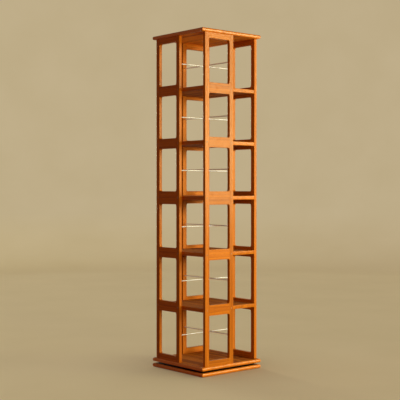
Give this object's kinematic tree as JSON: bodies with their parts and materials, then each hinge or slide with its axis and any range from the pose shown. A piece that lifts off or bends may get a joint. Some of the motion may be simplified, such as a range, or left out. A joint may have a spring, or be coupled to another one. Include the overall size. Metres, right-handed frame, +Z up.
{
  "type": "revolving bookcase",
  "caption": "Tall square teak bookcase tower with open tiers inside a pinwheel of ladder frames, crossed by thin rods, turning on a ball swivel over a flat base board.",
  "frame": {"origin": "on the floor, under the middle of the base board", "axes": "+Z up along the turning axis, -Y out of the front frame's face, +X to the right of that face"},
  "size_m": [0.42, 0.42, 1.815],
  "materials": {
    "teak_boards": "oiled teak, satin",
    "teak_shelves": "oiled teak veneer, satin",
    "teak_frames": "oiled solid teak, satin",
    "rod_steel": "bright polished steel",
    "swivel_steel": "plain zinc-plated steel",
    "cage_brass": "pressed brass"
  },
  "bodies": {
    "base": {"base_board": "teak_boards", "swivel_lower_ring": "swivel_steel"},
    "ball_cage": {"swivel_ball_cage": "cage_brass"},
    "tower": {"swivel_upper_ring": "swivel_steel", "bottom_board": "teak_boards", "top_board": "teak_boards", "shelf_1": "teak_shelves", "shelf_2": "teak_shelves", "shelf_3": "teak_shelves", "shelf_4": "teak_shelves", "shelf_5": "teak_shelves", "front_corner_stile": "teak_frames", "front_middle_stile": "teak_frames", "front_rail_1": "teak_frames", "front_rail_2": "teak_frames", "front_rail_3": "teak_frames", "front_rail_4": "teak_frames", "front_rail_5": "teak_frames", "front_rail_6": "teak_frames", "front_rail_7": "teak_frames", "right_corner_stile": "teak_frames", "right_middle_stile": "teak_frames", "right_rail_1": "teak_frames", "right_rail_2": "teak_frames", "right_rail_3": "teak_frames", "right_rail_4": "teak_frames", "right_rail_5": "teak_frames", "right_rail_6": "teak_frames", "right_rail_7": "teak_frames", "back_corner_stile": "teak_frames", "back_middle_stile": "teak_frames", "back_rail_1": "teak_frames", "back_rail_2": "teak_frames", "back_rail_3": "teak_frames", "back_rail_4": "teak_frames", "back_rail_5": "teak_frames", "back_rail_6": "teak_frames", "back_rail_7": "teak_frames", "left_corner_stile": "teak_frames", "left_middle_stile": "teak_frames", "left_rail_1": "teak_frames", "left_rail_2": "teak_frames", "left_rail_3": "teak_frames", "left_rail_4": "teak_frames", "left_rail_5": "teak_frames", "left_rail_6": "teak_frames", "left_rail_7": "teak_frames", "cross_rod_lower_1": "rod_steel", "cross_rod_lower_2": "rod_steel", "cross_rod_lower_3": "rod_steel", "cross_rod_lower_4": "rod_steel", "cross_rod_lower_5": "rod_steel", "cross_rod_lower_6": "rod_steel", "cross_rod_upper_1": "rod_steel", "cross_rod_upper_2": "rod_steel", "cross_rod_upper_3": "rod_steel", "cross_rod_upper_4": "rod_steel", "cross_rod_upper_5": "rod_steel", "cross_rod_upper_6": "rod_steel"}
  },
  "joints": [
    {"name": "revolve", "type": "hinge", "parent": "base", "child": "tower", "pos_m": [0, 0, 0.025], "axis": [0, 0, 1], "continuous": true},
    {"name": "cage_roll", "type": "hinge", "parent": "base", "child": "ball_cage", "pos_m": [0, 0, 0.025], "axis": [0, 0, 1], "continuous": true}
  ],
  "couplings": [
    {"joint": "cage_roll", "follows": "revolve", "ratio": 0.5}
  ]
}
